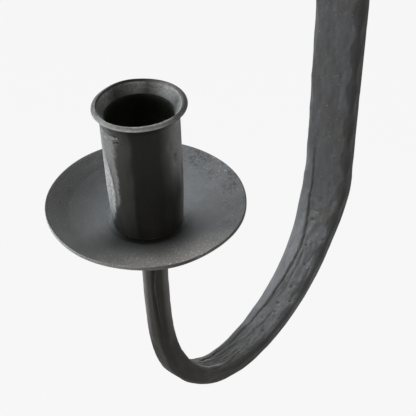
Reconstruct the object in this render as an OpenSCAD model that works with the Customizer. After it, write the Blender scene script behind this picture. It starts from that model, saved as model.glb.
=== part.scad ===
// Wall candle holder, hand forged: a flat wall bar drawn out into a J-shaped hook
// that carries a dished drip pan and a flared candle cup on its upturned stem.
// Frame: Z up, wall plane at Y = 0, the candle stands at negative Y.
// The origin lies on the wall plane, midway between the two wall screws.

/* [Wall bar] */
// Width of the flat bar against the wall
bar_w = 22.8; // [18:0.1:28]
// Thickness of the flat bar
bar_t = 8.2; // [6:0.1:10]
// Straight length of the bar, from its top end to where the hook begins
bar_len = 186; // [165:1:210]
// Rise of the arched top end
bar_arch = 5; // [3:0.5:8]
// Distance from the upper wall screw to the top end
bar_margin = 14; // [12:0.5:20]

/* [Wall screw holes] */
// Distance between the two wall screws
wall_hole_pitch = 40; // [30:1:60]
// Diameter of the through holes
wall_hole_d = 5; // [4:0.1:6]
// Diameter of the countersinks at the front face
countersink_d = 10; // [8:0.1:12]

/* [Hook] */
// Distance from the wall to the candle's axis
reach = 127; // [110:1:150]
// How strongly the stem side of the bend is drawn down
front_pull = 133; // [120:1:145]
// How strongly the wall side of the bend is drawn down
back_pull = 75.5; // [65:0.5:90]
// Bias of the width taper along the bend, 1 is a straight taper
taper_bias = 1.16; // [0.9:0.02:1.4]

/* [Stem] */
// Width of the square stem below the drip pan
stem_w = 8.4; // [7:0.1:10]
// Thickness of the square stem, measured in the plane of the hook
stem_t = 8; // [7:0.1:10]
// Straight length of the stem below the drip pan
stem_len = 35.3; // [25:0.1:45]

/* [Hammered edges] */
// Chamfer worked on every long edge
chamfer = 1.4; // [0.8:0.1:2]
// Extra chamfer at the middle of a hammer scallop, on the right edge of the front
scallop = 2.2; // [0:0.1:3]
// Width of the strip along the left edge of the front that is hammered down a little
fall_w = 4.6; // [3:0.1:6]
// How far that strip falls at the edge, in the middle of a hammer blow
fall = 0.55; // [0.2:0.05:0.9]
// Length of one hammer scallop
scallop_len = 15.5; // [10:0.5:16]
// Distance from one hammer scallop to the next
scallop_pitch = 19; // [17:0.5:26]
// Crown of the broad face that looks at the candle
crown = 0.25; // [0.1:0.05:0.5]

/* [Drip pan] */
// Height from the drip pan's rim up to the middle of the wall screws
pan_drop = 89.2; // [78:0.1:105]
// Outer diameter of the drip pan
pan_d = 72; // [64:0.5:84]
// Thickness of its sheet
pan_t = 1.5; // [1:0.1:2.5]
// Depth of the dish, from the rim to the flat centre
pan_depth = 8.6; // [6:0.1:11]
// Width of the flat ring left round the cup's foot
pan_seat = 1.1; // [0.5:0.1:3]
// Width of the flatter band along the rim
pan_band = 7; // [4:0.5:9]

/* [Candle cup] */
// Height of the cup, from its foot to the top of the lip
cup_h = 50.5; // [42:0.5:60]
// Bore that takes the candle
bore_d = 23.5; // [21:0.1:25]
// Wall thickness of the cup's body
cup_wall = 1.9; // [1.6:0.1:2.5]
// How far the foot is drawn in from the body, on the radius
foot_inset = 1.25; // [0.4:0.05:1.4]
// Height over which the foot widens into the body
foot_rise = 19; // [12:0.5:24]
// Fillet between the floor and the bore
floor_fillet = 4; // [2:0.5:6]
// Thickness of the cup's floor
floor_t = 2; // [1.5:0.1:3]
// How far the flared lip stands out past the body, on the radius
lip_out = 2.4; // [1.4:0.1:3.4]
// Height of the flare
lip_h = 6; // [4:0.2:9]
// Thickness of the lip's rounded edge
lip_t = 1.8; // [1.2:0.1:2.4]

/* [Fixing screw] */
// Thread diameter of the screw that clamps cup, pan and stem
screw_d = 4; // [3:0.5:5]
// Length of the screw below its head
screw_len = 14; // [12:0.5:20]
// Diameter of the screw's head
head_d = 8; // [7.2:0.1:9]
// Height of the screw's head
head_h = 2.8; // [2:0.1:3.5]
// Width of the screw's slot
slot_w = 1; // [0.6:0.1:1.4]
// Outer diameter of the spring washer
washer_d = 7.4; // [7:0.1:8.6]
// Thickness of the spring washer
washer_t = 0.9; // [0.7:0.1:1.4]
// Gap of the split in the spring washer
washer_split = 0.8; // [0.4:0.1:1.2]

/* [Clearances] */
// Radial clearance of the screw in the pan and the cup
hole_gap = 0.25; // [0.15:0.05:0.5]
// Radial clearance of the screw in the stem's tapped hole
thread_gap = 0.05; // [0.02:0.01:0.1]
// Free depth of the tapped hole past the screw's end
tap_spare = 2; // [1:0.5:4]

/* [Hidden] */
$fn = 96;
iron = "#2b2c2d";
dark_iron = "#232425";
bare_steel = "#6a6b6c";

// Stack of pieces on the candle's axis
axis_y = -reach;
pan_rim_z = -pan_drop;
pan_floor_z = pan_rim_z - pan_depth;
stem_top_z = pan_floor_z - pan_t;
cup_floor_z = pan_floor_z + floor_t;
head_seat_z = cup_floor_z + washer_t;
hole_r = screw_d / 2 + hole_gap;
body_r = bore_d / 2 + cup_wall;
foot_r = body_r - foot_inset;
pan_flat_r = foot_r + pan_seat;
cut_over = 1;

// Centre line of the arm, in the plane X = 0, as points [y, z]
bar_y = -bar_t / 2;
bar_top_z = wall_hole_pitch / 2 + bar_margin;
stem_low = [axis_y, stem_top_z - stem_len];
bar_low = [bar_y, bar_top_z - bar_len];
stem_steps = 3;
bend_steps = 54;
bar_steps = 60;
arch_steps = 6;
arch_tip = 0.35;

function mix(a, b, u) = a + (b - a) * u;
function bend_point(t) =
    pow(1 - t, 3) * stem_low
    + 3 * pow(1 - t, 2) * t * (stem_low - [0, front_pull])
    + 3 * (1 - t) * t * t * (bar_low - [0, back_pull])
    + pow(t, 3) * bar_low;
function stem_point(u) = mix([axis_y, stem_top_z], stem_low, u);
function bar_point(u) = mix(bar_low, [bar_y, bar_top_z - bar_arch], u);
function arch_angle(i) = 90 * i / arch_steps;
function arch_point(i) = [bar_y, bar_top_z - bar_arch + bar_arch * sin(arch_angle(i))];

line = concat(
    [for (i = [0 : stem_steps - 1]) stem_point(i / stem_steps)],
    [for (i = [0 : bend_steps]) bend_point(i / bend_steps)],
    [for (i = [1 : bar_steps]) bar_point(i / bar_steps)],
    [for (i = [1 : arch_steps]) arch_point(i)]
);
last = len(line) - 1;
bend_first = stem_steps;
bend_last = stem_steps + bend_steps;
arch_first = bend_last + bar_steps;

// Distance travelled along the centre line at each of its points
travel = [for (i = 0, s = 0; i <= last; i = i + 1,
    s = i <= last ? s + norm(line[i] - line[i - 1]) : s) s];

// Share of the bend that lies behind a point, 0 on the stem and 1 on the bar
function bend_share(i) =
    min(1, max(0, (travel[i] - travel[bend_first]) / (travel[bend_last] - travel[bend_first])));

// Direction of the line at a point, and the normal that faces the inside of the hook
function ahead(i) =
    i <= bend_first ? [0, -1] :
    i >= bend_last ? [0, 1] :
    (line[i + 1] - line[i - 1]) / norm(line[i + 1] - line[i - 1]);
function inward(i) = [-ahead(i)[1], ahead(i)[0]];

function arch_width(i) = i <= arch_first ? 1 : mix(arch_tip, 1, cos(arch_angle(i - arch_first)));
function width_at(i) = mix(stem_w, bar_w, pow(bend_share(i), taper_bias)) * arch_width(i);
function thickness_at(i) = mix(stem_t, bar_t, bend_share(i));

// Hammer blows run along both edges of the front face, set off from each other; their
// strength goes from 0 to 1, and their starts are measured from the bar's lower end
right_start = 5;
left_start = 15;
fall_least = 0.15;
function beat(s) = (s - floor(s / scallop_pitch) * scallop_pitch) / scallop_len;
function scallop_at(s) = beat(s) < 1 ? sin(180 * beat(s)) : 0;
function blow(i, start) = bend_share(i) * scallop_at(travel[i] - travel[bend_last] - start);
function scalloped(i) =
    min(chamfer + scallop * blow(i, right_start), width_at(i) * 0.3, thickness_at(i) * 0.45);
function plain_chamfer(i) = min(chamfer, width_at(i) * 0.3);
function fall_at(i) = fall_least + (fall - fall_least) * blow(i, left_start);
function fall_width(i) = min(fall_w, width_at(i) * 0.4);

// One corner of a section, from the broad face round to the side
function corner(x, n, c) = [
    [sign(x) * (abs(x) - c), n],
    [sign(x) * (abs(x) - c * 0.38), sign(n) * (abs(n) - c * 0.38)],
    [x, sign(n) * (abs(n) - c)]
];
function flip(p) = [p[2], p[1], p[0]];

// Section of the arm as points [x, n], anticlockwise, n towards the inside of the hook
function section(i) =
    let (
        x = width_at(i) / 2,
        n = thickness_at(i) / 2,
        face = n - crown,
        edge = plain_chamfer(i)
    )
    concat(
        flip(corner(x, face, scalloped(i))),
        [[0, n], [fall_width(i) - x, face]],
        corner(-x, face - fall_at(i), edge),
        flip(corner(-x, -n, edge)),
        corner(x, -n, edge)
    );
ring = len(section(0));

function place(i, p) = [
    p[0],
    line[i][0] + inward(i)[0] * p[1],
    line[i][1] + inward(i)[1] * p[1]
];
function quad(a, b, c, d) = [[a, b, c], [a, c, d]];

// Solid swept through all the sections, closed by its two end faces
module forged_bar() {
    points = [for (i = [0 : last]) each [for (p = section(i)) place(i, p)]];
    sides = [for (i = [0 : last - 1], k = [0 : ring - 1])
        each quad(
            i * ring + k,
            i * ring + (k + 1) % ring,
            (i + 1) * ring + (k + 1) % ring,
            (i + 1) * ring + k
        )];
    first_end = [[for (k = [ring - 1 : -1 : 0]) k]];
    last_end = [[for (k = [0 : ring - 1]) last * ring + k]];
    polyhedron(points, concat(sides, first_end, last_end));
}

// Through hole for a countersunk wall screw, its head at the front face
module wall_hole(z) {
    sink = (countersink_d - wall_hole_d) / 2;
    translate([0, 0, z])
    rotate([90, 0, 0]) {
        translate([0, 0, -cut_over]) cylinder(d = wall_hole_d, h = bar_t + 2 * cut_over);
        translate([0, 0, bar_t - sink]) cylinder(d1 = wall_hole_d, d2 = countersink_d, h = sink);
        translate([0, 0, bar_t]) cylinder(d = countersink_d, h = cut_over);
    }
}

// Tapped hole for the fixing screw, down from the end of the stem
module tapped_hole() {
    depth = screw_len - (head_seat_z - stem_top_z) + tap_spare;
    translate([0, axis_y, stem_top_z - depth])
    cylinder(r = screw_d / 2 + thread_gap, h = depth + cut_over);
}

// The forging: wall bar, hook and stem in one piece
module arm() {
    color(iron)
    difference() {
        forged_bar();
        wall_hole(wall_hole_pitch / 2);
        wall_hole(-wall_hole_pitch / 2);
        tapped_hole();
    }
}

// Height of the dish over its flat centre, at a radius: a hollow cone that eases
// in from the flat centre and eases out to the band along the rim
dish_hollow = 0.45;
band_share = 0.22;
function ease_in(u) = mix(u, 1 - cos(90 * u), dish_hollow);
function ease_out(u) = mix(u, sin(90 * u), dish_hollow);
function dish_rise(r) =
    let (
        edge = pan_d / 2 - pan_band,
        band_rise = pan_depth * band_share,
        wall_rise = pan_depth - band_rise
    )
    r <= pan_flat_r ? 0 :
    r <= edge ? wall_rise * ease_in((r - pan_flat_r) / (edge - pan_flat_r)) :
    wall_rise + band_rise * ease_out((r - edge) / pan_band);

// Inner points of a rounded edge of radius r, turning a half circle from one angle
round_steps = 8;
function round_edge(centre, r, start, turn) =
    [for (i = [1 : round_steps - 1])
        let (a = start + turn * i / round_steps)
        centre + r * [cos(a), sin(a)]];

// Profile of the drip pan, from the hole out along the top and back underneath
module pan_profile() {
    edge_r = pan_t / 2;
    steps = 16;
    run = pan_d / 2 - edge_r - pan_flat_r;
    radii = [for (i = [0 : steps]) pan_flat_r + run * i / steps];
    top = [for (r = radii) [r, dish_rise(r)]];
    rim = round_edge(top[steps] - [0, edge_r], edge_r, 90, -180);
    under = [for (i = [steps : -1 : 0]) top[i] - [0, pan_t]];
    polygon(concat([[hole_r, -pan_t], [hole_r, 0]], top, rim, under));
}

// Dished sheet disc clamped between the stem and the cup
module drip_pan() {
    color(dark_iron)
    translate([0, axis_y, pan_floor_z])
    rotate_extrude() pan_profile();
}

// Profile of the candle cup: foot, body and flared lip, over the candle bore
module cup_profile() {
    bore_r = bore_d / 2;
    foot_round = floor_t * 0.6;
    lip_r = body_r + lip_out;
    lip_edge = lip_t / 2;
    flare_z = cup_h - lip_h;
    flare = lip_r - lip_edge - body_r;
    arc_steps = 8;
    outer_foot = [for (i = [0 : arc_steps])
        [foot_r - foot_round * (1 - sin(90 * i / arc_steps)), foot_round * (1 - cos(90 * i / arc_steps))]];
    outer_taper = [for (i = [1 : arc_steps])
        [foot_r + (body_r - foot_r) * sin(90 * i / arc_steps),
        foot_round + (foot_rise - foot_round) * i / arc_steps]];
    outer_flare = [for (i = [0 : arc_steps])
        [body_r + flare * (1 - cos(90 * i / arc_steps)), flare_z + (lip_h - lip_t) * sin(90 * i / arc_steps)]];
    inner_flare = [for (i = [arc_steps : -1 : 0])
        [bore_r + (lip_r - lip_edge - bore_r) * (1 - cos(90 * i / arc_steps)),
        flare_z + lip_h * sin(90 * i / arc_steps)]];
    inner_floor = [for (i = [0 : arc_steps])
        [bore_r - floor_fillet * (1 - cos(90 * i / arc_steps)),
        floor_t + floor_fillet * (1 - sin(90 * i / arc_steps))]];
    lip = round_edge([lip_r - lip_edge, cup_h - lip_edge], lip_edge, -90, 180);
    polygon(concat([[hole_r, 0]], outer_foot, outer_taper, outer_flare, lip, inner_flare,
        inner_floor, [[hole_r, floor_t]]));
}

// Cup that holds the candle, standing on the pan's flat centre
module candle_cup() {
    color(iron)
    translate([0, axis_y, pan_floor_z])
    rotate_extrude() cup_profile();
}

// Split ring under the head of the fixing screw
module spring_washer() {
    color(bare_steel)
    translate([0, axis_y, cup_floor_z])
    difference() {
        cylinder(d = washer_d, h = washer_t);
        translate([0, 0, -cut_over]) cylinder(r = hole_r, h = washer_t + 2 * cut_over);
        translate([0, -washer_split / 2, -cut_over])
        cube([washer_d, washer_split, washer_t + 2 * cut_over]);
    }
}

// Slotted screw that clamps the cup and the pan onto the stem
module fixing_screw() {
    dome = head_h * 0.45;
    dome_r = (pow(head_d / 2, 2) + dome * dome) / (2 * dome);
    slot_depth = head_h * 0.4;
    color(bare_steel)
    translate([0, axis_y, head_seat_z])
    difference() {
        union() {
            translate([0, 0, -screw_len]) cylinder(d = screw_d, h = screw_len);
            rotate_extrude()
            intersection() {
                square([head_d / 2, head_h]);
                translate([0, head_h - dome_r]) circle(r = dome_r);
            }
        }
        translate([-head_d, -slot_w / 2, head_h - slot_depth]) cube([2 * head_d, slot_w, head_h]);
    }
}

arm();
drip_pan();
candle_cup();
spring_washer();
fixing_screw();
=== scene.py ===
"""Wall candle holder of hand-forged, waxed iron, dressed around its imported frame.

Lengths in this file are millimetres until a point or a size goes to Blender.
"""

import math

import bpy
import numpy as np
from mathutils import Matrix, Vector, noise


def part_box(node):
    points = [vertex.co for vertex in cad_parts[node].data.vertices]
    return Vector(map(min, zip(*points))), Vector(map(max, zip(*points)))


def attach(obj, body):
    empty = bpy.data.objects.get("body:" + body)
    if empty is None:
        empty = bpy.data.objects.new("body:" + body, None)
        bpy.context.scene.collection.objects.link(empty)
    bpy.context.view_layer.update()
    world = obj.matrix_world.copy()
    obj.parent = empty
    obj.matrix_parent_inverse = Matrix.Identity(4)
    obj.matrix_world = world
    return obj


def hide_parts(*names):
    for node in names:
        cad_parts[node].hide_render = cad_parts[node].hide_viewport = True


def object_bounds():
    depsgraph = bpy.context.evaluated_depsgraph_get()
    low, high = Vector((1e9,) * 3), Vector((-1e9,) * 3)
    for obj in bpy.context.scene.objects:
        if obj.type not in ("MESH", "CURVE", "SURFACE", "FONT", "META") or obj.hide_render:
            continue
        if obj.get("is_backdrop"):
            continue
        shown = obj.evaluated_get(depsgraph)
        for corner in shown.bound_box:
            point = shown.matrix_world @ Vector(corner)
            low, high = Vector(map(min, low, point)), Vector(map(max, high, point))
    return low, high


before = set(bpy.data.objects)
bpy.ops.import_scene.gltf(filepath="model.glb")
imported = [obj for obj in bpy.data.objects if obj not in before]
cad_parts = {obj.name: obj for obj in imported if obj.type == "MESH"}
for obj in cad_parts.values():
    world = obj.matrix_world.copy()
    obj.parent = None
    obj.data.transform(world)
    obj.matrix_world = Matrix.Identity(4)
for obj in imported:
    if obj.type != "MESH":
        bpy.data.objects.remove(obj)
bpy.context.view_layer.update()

MM = 0.001

# Weights, and moves in millimetres, that are too small to count
SLIGHT = 0.01
STILL = 0.001


# Working by hand: selection, applied modifiers, turned pieces


def metres(point):
    """A point in millimetres as a Vector in metres."""
    return Vector(point) * MM


def only(piece):
    """Makes one object the active and only selected one."""
    bpy.ops.object.select_all(action="DESELECT")
    piece.select_set(True)
    bpy.context.view_layer.objects.active = piece


def modify(piece, kind, **settings):
    """Adds a modifier with these settings and applies it."""
    only(piece)
    modifier = piece.modifiers.new(kind.title(), kind)
    for name, value in settings.items():
        setattr(modifier, name, value)
    bpy.ops.object.modifier_apply(modifier=modifier.name)


def copy_of_node(node, name):
    """A merged copy of a CAD node's mesh, as a piece of its own."""
    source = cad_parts[node]
    piece = bpy.data.objects.new(name, source.data.copy())
    piece.data.materials.clear()
    bpy.context.scene.collection.objects.link(piece)
    only(piece)
    bpy.ops.object.mode_set(mode="EDIT")
    bpy.ops.mesh.select_all(action="SELECT")
    bpy.ops.mesh.remove_doubles(threshold=0.002 * MM)
    bpy.ops.object.mode_set(mode="OBJECT")
    return piece


def turned(name, profile, steps):
    """A piece turned on the candle's axis from a closed profile of [radius, height] points."""
    bpy.ops.object.select_all(action="DESELECT")
    bpy.ops.mesh.primitive_plane_add(size=1 * MM, location=(0, 0, 0))
    piece = bpy.context.active_object
    piece.name = piece.data.name = name
    bpy.ops.object.mode_set(mode="EDIT")
    bpy.ops.mesh.select_all(action="SELECT")
    bpy.ops.mesh.merge(type="CENTER")
    last = metres((profile[0][0], AXIS_Y, profile[0][1]))
    bpy.ops.transform.translate(value=last)
    for radius, height in profile[1:]:
        point = metres((radius, AXIS_Y, height))
        bpy.ops.mesh.extrude_region_move(TRANSFORM_OT_translate={"value": point - last})
        last = point
    bpy.ops.mesh.select_all(action="SELECT")
    bpy.ops.mesh.spin(
        steps=steps, angle=math.tau, center=metres((0, AXIS_Y, 0)), axis=(0, 0, 1), use_auto_merge=True
    )
    bpy.ops.mesh.select_all(action="SELECT")
    bpy.ops.mesh.remove_doubles(threshold=0.01 * MM)
    bpy.ops.mesh.normals_make_consistent(inside=False)
    bpy.ops.object.mode_set(mode="OBJECT")
    return piece


def points_of(piece):
    """The piece's vertices as an array, in millimetres."""
    flat = np.zeros(len(piece.data.vertices) * 3)
    piece.data.vertices.foreach_get("co", flat)
    return flat.reshape(-1, 3) / MM


def normals_of(piece):
    """The piece's vertex normals as an array."""
    flat = np.zeros(len(piece.data.vertices) * 3)
    piece.data.vertices.foreach_get("normal", flat)
    return flat.reshape(-1, 3)


def press(piece, weights, depth):
    """Paints the weights on the piece and pushes it in by them, depth at a weight of 1."""
    group = piece.vertex_groups.new(name="pressed")
    for index in np.flatnonzero(np.abs(weights) > SLIGHT):
        group.add([int(index)], float(weights[index]), "REPLACE")
    modify(
        piece, "DISPLACE", strength=-depth * MM, mid_level=0.0, direction="NORMAL", vertex_group=group.name
    )
    piece.vertex_groups.remove(piece.vertex_groups["pressed"])


def shift(piece, offsets):
    """Moves each vertex by its own offset, given as an array of x, y and z in millimetres."""
    for axis, lengths in zip("XYZ", offsets.T):
        for sign in (1, -1):
            most = (sign * lengths).max()
            if most < STILL:
                continue
            group = piece.vertex_groups.new(name="moved")
            for index in np.flatnonzero(sign * lengths > STILL):
                group.add([int(index)], float(sign * lengths[index] / most), "REPLACE")
            modify(
                piece, "DISPLACE", strength=sign * most * MM, mid_level=0.0, direction=axis,
                vertex_group="moved",
            )
            piece.vertex_groups.remove(piece.vertex_groups["moved"])


def held(values):
    """The values, held between 0 and 1."""
    return np.clip(values, 0, 1)


def paint(piece, name, values):
    """Keeps one number a vertex on the piece, for its finish."""
    mark = piece.data.attributes.new(name, "FLOAT", "POINT")
    mark.data.foreach_set("value", held(values).astype(np.float32))


def paint_places(piece, name, places):
    """Keeps a place in millimetres on each vertex, for a pattern that follows the piece."""
    mark = piece.data.attributes.new(name, "FLOAT_VECTOR", "POINT")
    mark.data.foreach_set("vector", (places * MM).astype(np.float32).ravel())


def over(excess, blend):
    """The part of the excess above 0, eased in over the blend."""
    eased = (excess + blend) ** 2 / (4 * blend)
    return np.where(excess > blend, excess, np.where(excess < -blend, 0, eased))


def soft(distance, width):
    """1 at distance 0, easing to 0 at width."""
    share = held(1 - np.abs(distance) / width)
    return share * share * (3 - 2 * share)


def ripple(points, size, seed):
    """Smooth noise from 0 to 1 at the points, with waves of this size."""
    start = Vector((seed * 7.3, seed * 3.1, seed * 5.7))
    return np.array([noise.noise(Vector(p) / size + start) for p in points]) * 0.5 + 0.5


def lengthwise(values):
    """Places on a straight line, for a ripple that changes along it only."""
    return np.c_[values, np.zeros((len(values), 2))]


def by_table(places, table):
    """What a table says at the places, from its rows of [place, value]."""
    return np.interp(places, *np.transpose(table))


def apart(angles, middle):
    """Degrees from the middle angle to the others, the short way round."""
    return (angles - middle + 180) % 360 - 180


def direction(turn, rise):
    """The way out from the holder, turned from the front to the right and raised, both in radians."""
    return Vector(
        (math.sin(turn) * math.cos(rise), -math.cos(turn) * math.cos(rise), math.sin(rise))
    )


# Places on the holder


BOX = {name: [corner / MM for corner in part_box(name)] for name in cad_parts}
AXIS_Y = (BOX["drip_pan"][0].y + BOX["drip_pan"][1].y) / 2
PAN_RIM = BOX["drip_pan"][1].z
PAN_R = BOX["drip_pan"][1].x
CUP_FOOT = BOX["candle_cup"][0].z
CUP_TOP = BOX["candle_cup"][1].z
LIP_R = BOX["candle_cup"][1].x
STEM_TOP = BOX["drip_pan"][0].z
BAR_TOP = BOX["arm"][1].z


def around(points):
    """Angle round the candle's axis, 0 to the room and 90 to the right, radius, and the way out."""
    offset = points[:, :2] - [0, AXIS_Y]
    radius = np.hypot(*offset.T)
    angle = np.degrees(np.arctan2(offset[:, 0], -offset[:, 1]))
    return angle, radius, offset / np.maximum(radius, 1)[:, None]


# Centre line of the forged arm in the plane X = 0, as [y, z]
STEM_LOW = np.array([AXIS_Y, STEM_TOP - 35.3])
BAR_LOW = np.array([-4.1, BAR_TOP - 186])
FRONT_PULL = np.array([0, 133.0])
BACK_PULL = np.array([0, 75.5])
BEND_STEPS = 240

# Width of the stem and of the bar, and how the arm widens from one to the other
STEM_W = 8.4
BAR_W = 22.8
WIDENING = 1.16


def bend_point(t):
    """Point of the hook's bend, 0 at the stem and 1 at the bar."""
    return (
        (1 - t) ** 3 * STEM_LOW
        + 3 * (1 - t) ** 2 * t * (STEM_LOW - FRONT_PULL)
        + 3 * (1 - t) * t * t * (BAR_LOW - BACK_PULL)
        + t**3 * BAR_LOW
    )


LINE = np.array(
    [[AXIS_Y, STEM_TOP]]
    + [bend_point(i / BEND_STEPS) for i in range(BEND_STEPS + 1)]
    + [[BAR_LOW[0], BAR_TOP]]
)
TRAVEL = np.concatenate([[0], np.cumsum(np.linalg.norm(np.diff(LINE, axis=0), axis=1))])
BEND_START, BEND_END = TRAVEL[1], TRAVEL[-2]

# Points of the arm that are straightened at once
AT_ONCE = 8000


def straightened(points):
    """Points as [travel from the stem's end, x, height towards the hook's inside], and that inward way."""
    out = np.zeros_like(points)
    way = np.zeros_like(points)
    start, step = LINE[:-1], np.diff(LINE, axis=0)
    length = np.linalg.norm(step, axis=1)
    for first in range(0, len(points), AT_ONCE):
        part = slice(first, first + AT_ONCE)
        block = points[part]
        yz = block[:, None, 1:] - start[None]
        share = held((yz * step).sum(2) / length**2)
        off = yz - share[..., None] * step
        near = np.argmin((off**2).sum(2), axis=1)
        row = np.arange(len(block))
        ahead = step[near] / length[near][:, None]
        inward = np.c_[-ahead[:, 1], ahead[:, 0]]
        out[part, 0] = TRAVEL[near] + share[row, near] * length[near]
        out[part, 1] = block[:, 0]
        out[part, 2] = (off[row, near] * inward).sum(1)
        way[part, 1:] = inward
    return out, way


def bend_share(travel):
    """0 on the stem, 1 on the bar."""
    return held((travel - BEND_START) / (BEND_END - BEND_START))


def width_at(travel):
    """Width of the arm along its line."""
    return STEM_W + (BAR_W - STEM_W) * bend_share(travel) ** WIDENING


# Forged arm: wall bar, hook and stem in one forging

arm = copy_of_node("arm", "forged_arm")
modify(arm, "REMESH", mode="VOXEL", voxel_size=0.52 * MM)
modify(arm, "SMOOTH", factor=0.5, iterations=2)
places, inward = straightened(points_of(arm))
travel, across, height = places.T
facing = (normals_of(arm) * inward).sum(1)
inside = held(facing) ** 2 * held(height / 2)
outside = held(-facing) ** 2 * held(-height / 2)

# Where the forging strays from its line, as [travel, millimetres]: left, right, inwards and outwards
STRAY_LEFT = [
    [36, 0], [46, -0.3], [76, -0.3], [90, 0], [96, 0], [104, 0.3], [120, 0.5], [140, 0.65], [160, 0.9],
    [180, 0.7], [192, 0.35], [210, 0.45], [220, 0.7], [230, 1.3], [240, 1.4], [250, 0.9], [260, 0.4],
    [275, 0],
]
STRAY_RIGHT = [
    [0, 0.4], [30, 0.45], [56, 0.45], [68, 0], [100, -0.2], [130, -0.35], [140, 0], [160, 0.3], [190, 0.35],
    [212, 0.1], [222, -0.1], [240, 0.55], [250, 0.9], [265, 0.6], [285, 0.4],
]
STRAY_IN = [[72, 0], [84, 0.35], [92, 0.35], [100, 0.5], [110, 0.4], [120, 0.25], [130, 0]]
STRAY_OUT = [
    [52, 0], [60, 0.25], [68, 0.5], [76, 0.65], [84, 1.2], [92, 1.2], [100, 0.9], [108, 0.25], [116, 0],
]
stray_left, stray_right, stray_in, stray_out = [
    by_table(travel, table) for table in (STRAY_LEFT, STRAY_RIGHT, STRAY_IN, STRAY_OUT)
]
sideways = stray_right * held(across / 3) - stray_left * held(-across / 3)
upright = stray_in * held(height / 3) - stray_out * held(-height / 3)

# The stem's top leans to the right, and a little less towards the wall
lean = np.interp(travel, [0, 30, 75], [0.75, 0.64, 0])
shift(arm, (sideways + lean)[:, None] * [1, 0, 0] + inward * upright[:, None] + lean[:, None] * [0, 0.88, 0])

# The stem's front right corner, drawn out broader than the others
corner = (across - height) / math.sqrt(2)
broad = np.interp(travel, [0, 8, 60, 100, 125], [0.7, 1, 1, 0.6, 0])
broad *= 0.8 + 0.4 * ripple(lengthwise(travel), 14, 4)
press(arm, held(over(corner - width_at(travel) * 0.46, 0.25) * broad), 1.0)

# Long lap crease along the left of the inside face, as [travel, x]
CREASE = [
    [106, -1.6], [116, -2.6], [131, -3.8], [143, -4.2], [156, -4.1], [166, -3.3], [172, -3.2], [178, -2.8],
    [185, -2.9], [194, -2.4], [203, -2.2], [213, -1.7], [220, -2.0], [230, -2.9], [239, -3.9], [251, -4.8],
    [263, -5.2], [275, -5.9], [292, -6.4],
]
crease_x = by_table(travel, CREASE)
crease_share = np.interp(travel, [100, 118, 150, 215, 250, 270, 292], [0, 0.7, 0.8, 1, 0.7, 0.25, 0])
wander = ripple(lengthwise(travel), 9, 1) - 0.5
beside = across - crease_x - 0.8 * wander
left_edge = -width_at(travel) / 2
lap_share = np.interp(travel, [108, 135, 180, 262, 275], [0, 0.7, 1, 0.8, 0])
lap = held((across - left_edge) / np.maximum(crease_x - left_edge, 0.5))
press(arm, inside * lap_share * lap * held(-beside / 0.4), -0.6)
press(arm, inside * crease_share * soft(beside - 0.15, 0.6), 0.4)

# Second, softer fold at the right of the inside face, as [travel, x]
FOLD = [
    [140, 4], [154, 5.8], [168, 6.6], [179, 6.6], [185, 6.5], [201, 7.0], [217, 6.6], [231, 7.0], [245, 8],
]
fold_x = by_table(travel, FOLD)
fold_share = np.interp(travel, [135, 160, 200, 225, 248], [0, 1, 1, 0.6, 0])
fold_share *= np.clip(2.4 * ripple(lengthwise(travel), 16, 13) - 0.5, 0.1, 1)
folded = across - fold_x - 1.2 * wander
press(arm, inside * fold_share * soft(folded, 0.7), 0.35)
press(arm, inside * fold_share * held(folded / 4.0), 0.15)

# Short creases over the inside face that gather at the hook's bottom, as points of [travel, x] and a depth
marked = np.zeros(len(travel))
ridge_highlight = np.zeros(len(travel))
for line, depth in (
    ([[214, -0.1], [206, 0.3], [199, 0.2], [193, 0.4], [188, 0.4], [183, -0.8]], 0.3),
    ([[219, 8.1], [213, 5.6], [208, 4.4], [205, 2.5]], 0.25),
    (
        [
            [176, 1.4], [167, 1.0], [162, -0.4], [157, -0.2], [151, -1.9], [138, -2.4], [124, -3.2],
            [111, -1.0],
        ],
        0.45,
    ),
    ([[158, 1.4], [150, 2.3], [143, 2.2], [136, 3.5], [123, 4.2]], 0.35),
    ([[154, -6.4], [147, -5.2], [141, -5.3], [128, -3.6], [114, -2.6]], 0.45),
    ([[150, 0.4], [140, 0.9], [131, -0.2], [120, 0.6], [108, 0.2]], 0.35),
):
    line = np.array(line)[::-1]
    off = across - by_table(travel, line) - 0.6 * wander
    share = inside * held((travel - line[0, 0]) / 3) * held((line[-1, 0] - travel) / 3)
    press(arm, share * (soft(off - 0.2, 0.7) - 0.4 * soft(off + 0.7, 0.6)), depth)
    # Each crease line is painted dark, a painted shade, and the ridge beside it light, a painted highlight
    marked = np.maximum(marked, share * soft(off - 0.2, 0.42))
    ridge_highlight = np.maximum(ridge_highlight, share * soft(off + 0.7, 0.5) * np.interp(travel, [118, 140], [1, 0.2]))

# Fine folds that wander along the inside face, with softer hollows between them
folds = 1 - np.abs(2 * ripple(np.c_[across / 2.6, height * 0, travel / 13], 1, 9) - 1) * 6
between = np.interp(travel, [104, 124, 200, 262], [0, 1, 1, 0]) * held((beside - 0.9) / 0.8)
press(arm, inside * between * held(folds), 0.12)
hollows = ripple(np.c_[across / 3.2, height * 0, travel / 9], 1, 11)
press(arm, inside * between * held((hollows - 0.45) / 0.3), 0.2)

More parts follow.
